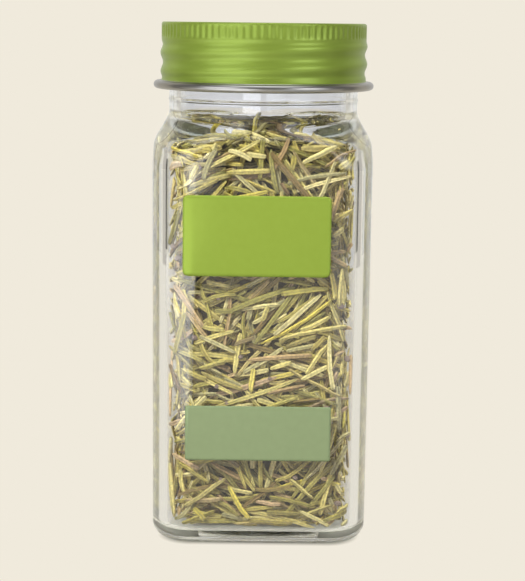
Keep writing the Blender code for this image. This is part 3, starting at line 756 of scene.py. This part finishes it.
def top_leaves(rng, mat):
    """The leaves that lie on the heap, drawn half as dark as painted shade of the cap; those that would
    cross the glass go.
    """
    laid = settle(heap_top, None, flat_spots(17.0), TOP_LEAVES, rng, LEAF_LENGTHS * 0.9,
                  lambda u, v: 0.9 * np.sin(u / 6 + v / 9), 0.9, ((-19.5, 19.5), (-19.5, 19.5)))
    starts, ends = laid[:, 0:3] * MM, laid[:, 3:6] * MM
    room = np.ones(len(laid), dtype=bool)
    for tip in (starts, ends):
        limit = inner_radius(np.arctan2(tip[:, 1], tip[:, 0]), tip[:, 2] + 0.5 * MM) - 0.6 * MM
        room &= np.hypot(tip[:, 0], tip[:, 1]) < limit
    up = np.tile((0.0, 0.0, 1.0), (len(laid), 1))
    # shade=0.5 is painted shade: these leaves' colour is halved to stand for the cap's shadow over the heap.
    return leaf_mesh("leaves_top", starts[room], ends[room], up[room], laid[room, 6] * MM, laid[room, 7],
                     rng, mat, shade=0.5)


def floor_rise(x, y):
    """The cavity's domed floor, in millimetres."""
    r = np.maximum(np.abs(x), np.abs(y)) / ((BODY_HALF - WALL - CAVITY_HEEL_R) / MM)
    return FLOOR_Z / MM + FLOOR_DOME / MM * np.clip(1 - r * r, 0, 1) + GLASS_GAP / MM


def floor_leaves(rng, mat):
    """The leaves on the floor, seen through the base."""
    laid = settle(floor_rise, None, flat_spots(19.0), FLOOR_LEAVES, rng, LEAF_LENGTHS * 0.9,
                  lambda u, v: 0.9 * np.sin(u / 7 - v / 6), 0.9, ((-16.4, 16.4), (-16.4, 16.4)))
    down = np.tile((0.0, 0.0, -1.0), (len(laid), 1))
    return leaf_mesh("leaves_floor", laid[:, 0:3] * MM, laid[:, 3:6] * MM, down, laid[:, 6] * MM, laid[:, 7],
                     rng, mat)


def leaf_heap(mat):
    """All that fills the jar. One generator serves every part, so their order is part of the design."""
    rng = np.random.default_rng(SEED)
    made = wall_leaves(rng, mat)
    made.append(top_leaves(rng, mat))
    made.append(floor_leaves(rng, mat))
    made.append(standing_leaves(rng, mat))
    made.append(flower_bits(rng, mat))
    made.append(leaf_heart(mat))
    return made


def standing_leaves(rng, mat):
    """The few that stick up out of the heap into the neck."""
    feet = np.array([row[:3] for row in STANDING])
    way = np.array([(row[3], row[4], 1.0) for row in STANDING])
    way /= np.linalg.norm(way, axis=1, keepdims=True)
    length = np.array([row[5] for row in STANDING])[:, None]
    starts, ends = (feet - 2.0 * way) * MM, (feet + way * length) * MM
    outs = np.tile((0.2, -1.0, 0.1), (len(STANDING), 1))
    bows = rng.uniform(-0.4, 0.4, len(STANDING)) * MM
    return leaf_mesh("leaves_standing", starts, ends, outs, bows, np.ones(len(STANDING)), rng, mat)


def flower_bits(rng, mat):
    """Bits of dried flower and bud, round and purple brown, here and there against the glass."""
    bm = bmesh.new()
    for _ in range(FLOWER_BITS):
        radius = rng.uniform(0.5, 0.8)
        spot = wall_place(np.array([rng.uniform(0, AROUND)]), np.array([rng.uniform(6, 82)]),
                          np.array([radius + 0.15]))[0]
        squash = Matrix.Diagonal((1.0, rng.uniform(0.75, 1.0), rng.uniform(0.75, 1.0), 1.0))
        turn = Matrix.Rotation(rng.uniform(0, TURN), 4, "Z") @ Matrix.Rotation(rng.uniform(0, TURN), 4, "X")
        bmesh.ops.create_icosphere(bm, subdivisions=2, radius=radius * MM,
                                   matrix=Matrix.Translation(spot) @ turn @ squash)
    obj = finish(bm, "leaves_flower_bits", mat)
    purple = np.tile((*srgb("#7D6A5E")[:3], 1.0), len(obj.data.vertices))
    obj.data.attributes.new("tint", "FLOAT_COLOR", "POINT").data.foreach_set("color", purple)
    return obj


def leaf_heart(mat):
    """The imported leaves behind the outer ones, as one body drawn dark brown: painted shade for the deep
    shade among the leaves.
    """
    bm = bmesh.new()
    inner = HEAP_HALF * MM - HEART_DEPTH
    angles = square_angles(inner, 3.0 * MM, 6, 6)
    edges = ring_start(bm, angles, lambda a: square_radius(a, inner * 0.85, 2.5 * MM), 6.4 * MM)
    stations = [(inner, 8.0), (inner, 78.0), (inner, 82.0), (inner * 0.93, 84.6), (inner * 0.7, 85.6)]
    for r, z in stations:
        edges = ring_up(bm, edges, lambda a, r=r: square_radius(a, r, 3.0 * MM * r / inner), z * MM)
    bmesh.ops.holes_fill(bm, edges=[e for e in bm.edges if e.is_boundary], sides=0)
    obj = finish(bm, "leaves_heart", mat)
    # The dark brown is painted shade, standing for the shade deep inside the heap.
    dark = np.tile((*srgb("#4A3C22")[:3], 1.0), len(obj.data.vertices))
    obj.data.attributes.new("tint", "FLOAT_COLOR", "POINT").data.foreach_set("color", dark)
    return obj


def flat_sheet(name, place, aim, width, height, mat):
    """A flat rectangle turned to face a point, which the camera itself doesn't see."""
    bm = bmesh.new()
    bmesh.ops.create_grid(bm, x_segments=1, y_segments=1, size=0.5)
    bmesh.ops.scale(bm, verts=bm.verts, vec=(width, height, 1.0))
    sheet = finish(bm, name, mat, closed=False)
    turn = (Vector(place) - Vector(aim)).to_track_quat("Z", "Y").to_matrix().to_4x4()
    sheet.matrix_world = Matrix.Translation(place) @ turn
    sheet.visible_camera = False
    return sheet


def soft_panel(name, place, aim, width, height, strength, fade, colour="#F6F8FF"):
    """A lit panel whose light fades towards its edges, as a diffuser's does."""
    mat, tree = new_material(name)
    coords = add_node(tree, "ShaderNodeTexCoord")
    axes = add_node(tree, "ShaderNodeSeparateXYZ", Vector=coords.outputs["Object"])
    level = None
    for axis, reach, margin in (("X", width / 2, fade[0]), ("Y", height / 2, fade[1])):
        away = add_node(tree, "ShaderNodeMath", {"operation": "ABSOLUTE"}, _0=axes.outputs[axis])
        edge = add_node(tree, "ShaderNodeMapRange", {"interpolation_type": "SMOOTHSTEP"},
                        Value=away.outputs[0], From_Min=reach, From_Max=reach - margin)
        level = edge if level is None else add_node(tree, "ShaderNodeMath", {"operation": "MULTIPLY"},
                                                    _0=level.outputs[0], _1=edge.outputs[0])
    power = add_node(tree, "ShaderNodeMath", {"operation": "MULTIPLY"}, _0=level.outputs[0], _1=strength)
    light = add_node(tree, "ShaderNodeEmission", Color=srgb(colour), Strength=power.outputs[0])
    show(tree, light)
    flat_sheet(name, place, aim, width, height, mat)


def matt_card(name, place, aim, width, height, colour):
    """A matt card that only the glass and the lacquer see, as a darker patch in their reflections."""
    mat, tree = new_material(name)
    show(tree, add_node(tree, "ShaderNodeBsdfDiffuse", Color=srgb(colour)))
    card = flat_sheet(name, place, aim, width, height, mat)
    card.visible_diffuse = False
    card.visible_shadow = False


def lamp(name, place, size, energy):
    light = bpy.data.lights.new(name, "AREA")
    light.shape = "DISK"
    light.size = size
    light.energy = energy
    obj = bpy.data.objects.new(name, light)
    obj.location = place
    obj.rotation_euler = (Vector(place) - Vector((0, 0, 0.06))).to_track_quat("Z", "Y").to_euler()
    obj.visible_glossy = False
    obj.visible_transmission = False
    bpy.context.scene.collection.objects.link(obj)


def studio():
    """Pale seamless floor and backdrop, soft panels of light, and the camera at the photograph's angle."""
    mat, tree = new_material("pale studio paper")
    # This dark grey matt is used only under the jar, as a painted shadow.
    paper = add_node(tree, "ShaderNodeBsdfDiffuse", Color=srgb("#57524A"))
    glow = add_node(tree, "ShaderNodeEmission", Color=srgb("#F0EADC"), Strength=1.0)
    place = add_node(tree, "ShaderNodeTexCoord")
    apart = add_node(tree, "ShaderNodeVectorMath", {"operation": "ABSOLUTE"}, _0=place.outputs["Object"])
    flat = BODY_HALF - CORNER_R
    past = add_node(tree, "ShaderNodeVectorMath", {"operation": "SUBTRACT"}, _0=apart.outputs["Vector"],
                    _1=(flat, flat, 0.0))
    outside = add_node(tree, "ShaderNodeVectorMath", {"operation": "MAXIMUM"}, _0=past.outputs["Vector"],
                       _1=(0.0, 0.0, 0.0))
    away = add_node(tree, "ShaderNodeVectorMath", {"operation": "LENGTH"}, _0=outside.outputs["Vector"])
    # The paper glows evenly; only under the jar, inside its rounded foot, it turns to a dark grey matt: a
    # painted shadow under the jar.
    dark_until, bright_from = 4.8 * MM, 7.4 * MM
    outside_painted_shadow = add_node(tree, "ShaderNodeMapRange", Value=away.outputs["Value"], From_Min=dark_until,
                          From_Max=bright_from)
    both = add_node(tree, "ShaderNodeMixShader", _0=outside_painted_shadow.outputs[0], _1=paper.outputs[0],
                    _2=glow.outputs[0])
    show(tree, both)
    bm = bmesh.new()
    sweep = [(-0.9, 0.0), (0.5, 0.0), (0.62, 0.03), (0.70, 0.12), (0.72, 0.3), (0.72, 1.2)]
    verts = [bm.verts.new((-1.6, y, z)) for y, z in sweep]
    edges = [bm.edges.new((verts[i], verts[i + 1])) for i in range(len(verts) - 1)]
    grown = bmesh.ops.extrude_edge_only(bm, edges=edges)["geom"]
    bmesh.ops.translate(bm, verts=[v for v in grown if isinstance(v, bmesh.types.BMVert)], vec=(3.2, 0, 0))
    floor = finish(bm, "studio_floor", mat, closed=False)

    soft_panel("panel_left", (-0.42, -0.44, 0.30), (0, 0, 0.07), 0.62, 0.60, 3.2, (0.16, 0.2))
    soft_panel("panel_right", (0.44, -0.42, 0.26), (0, 0, 0.07), 0.50, 0.50, 4.8, (0.18, 0.2))
    soft_panel("card_left", (-0.214, -0.345, 0.002), (-0.214, -0.345, 1.0), 0.378, 0.55, 3.3, (0.016, 0.05))
    soft_panel("strip_left", (-0.17, -0.66, 0.035), (-0.17, 0, 0.035), 0.30, 0.10, 4.4, (0.04, 0.03))
    soft_panel("card_right", (0.21, -0.30, 0.002), (0.21, -0.30, 1.0), 0.34, 0.46, 1.2, (0.022, 0.05))
    soft_panel("panel_back", (0, 0.34, 0.11), (0, 0, 0.11), 0.60, 0.46, 1.0, (0.03, 0.03), "#EFEEEC")
    soft_panel("panel_top", (0.0, -0.10, 0.62), (0, 0, 0.05), 0.70, 0.60, 3.0, (0.2, 0.2))

    # Cards, out of the picture, that draw the edges and the foot of the glass.
    matt_card("ground_card", (0, 0.02, 0.0004), (0, 0.02, 1.0), 0.044, 0.12, "#B4AFA5")
    matt_card("foot_card", (0, 0.045, 0.009), (0, 0, 0.009), 0.05, 0.018, "#A8A39B")
    matt_card("flag_left", (-0.085, 0.0, 0.072), (0, 0, 0.072), 0.022, 0.038, "#1C1B1A")
    matt_card("flag_right", (0.085, 0.0, 0.072), (0, 0, 0.072), 0.022, 0.038, "#1C1B1A")

    # Harder lamps that model the leaves; the panels alone are seen in the glass and the lacquer.
    lamp("key_lamp", (-0.12, -0.34, 0.32), 0.10, 2.6)
    lamp("back_lamp_left", (-0.28, 0.24, 0.26), 0.24, 1.9)
    lamp("back_lamp_right", (0.30, 0.20, 0.24), 0.24, 1.9)

    world = bpy.data.worlds.new("studio_air")
    world.use_nodes = True
    tree = world.node_tree
    tree.nodes.clear()
    dim = add_node(tree, "ShaderNodeBackground", Color=srgb("#EEECE8"), Strength=0.28)
    seen = add_node(tree, "ShaderNodeBackground", Color=srgb("#F0EADC"), Strength=1.0)
    rays = add_node(tree, "ShaderNodeLightPath")
    air = add_node(tree, "ShaderNodeMixShader", _0=rays.outputs["Is Camera Ray"], _1=dim.outputs[0],
                   _2=seen.outputs[0])
    add_node(tree, "ShaderNodeOutputWorld", Surface=air.outputs[0])
    bpy.context.scene.world = world
    bpy.context.scene.view_settings.view_transform = "Standard"

    # A lens of 1504 pixels on a picture 581 pixels high, from a camera fitted to the photograph.
    sensor, focal_pixels, picture_pixels = 36.0, 1504, 581
    camera = bpy.data.cameras.new("camera")
    camera.sensor_width = sensor
    camera.lens = sensor * focal_pixels / picture_pixels
    camera.clip_start = 0.01
    eye = bpy.data.objects.new("camera", camera)
    bpy.context.scene.collection.objects.link(eye)
    pitch, roll = math.radians(10.1), math.radians(0.7)
    eye.matrix_world = (Matrix.Translation((0.3 * MM, -330 * MM, CAP_TOP))
                        @ Matrix.Rotation(math.radians(90) - pitch, 4, "X") @ Matrix.Rotation(roll, 4, "Z"))
    bpy.context.scene.camera = eye


def place_on(obj, body, material_slot, *nodes):
    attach(obj, body)
    if nodes:
        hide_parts(*nodes)


jar = glass_jar(clear_glass())
place_on(jar, "jar", "clear_glass", "glass_jar")
shell = cap_shell(green_lacquer(), bare_tinplate(), gold_lacquer())
place_on(shell, "cap", "green_lacquered_steel", "cap")
liner = liner_disc(liner_wad())
place_on(liner, "liner", "liner_board", "cap_liner")
lime = label_film("lime label film", "#708230", "#758735")
upper = label_sheet("upper_label_sheet", "upper_label", 1.1 * MM, lime)
place_on(upper, "jar", "lime_label", "upper_label")
sage = label_film("sage label film", "#73805E", "#798663")
lower = label_sheet("lower_label_sheet", "lower_label", 0.25 * MM, sage)
place_on(lower, "jar", "sage_label", "lower_label")
for piece in leaf_heap(dried_leaf()):
    place_on(piece, "jar", "dried_leaf", "rosemary_leaves")
studio()
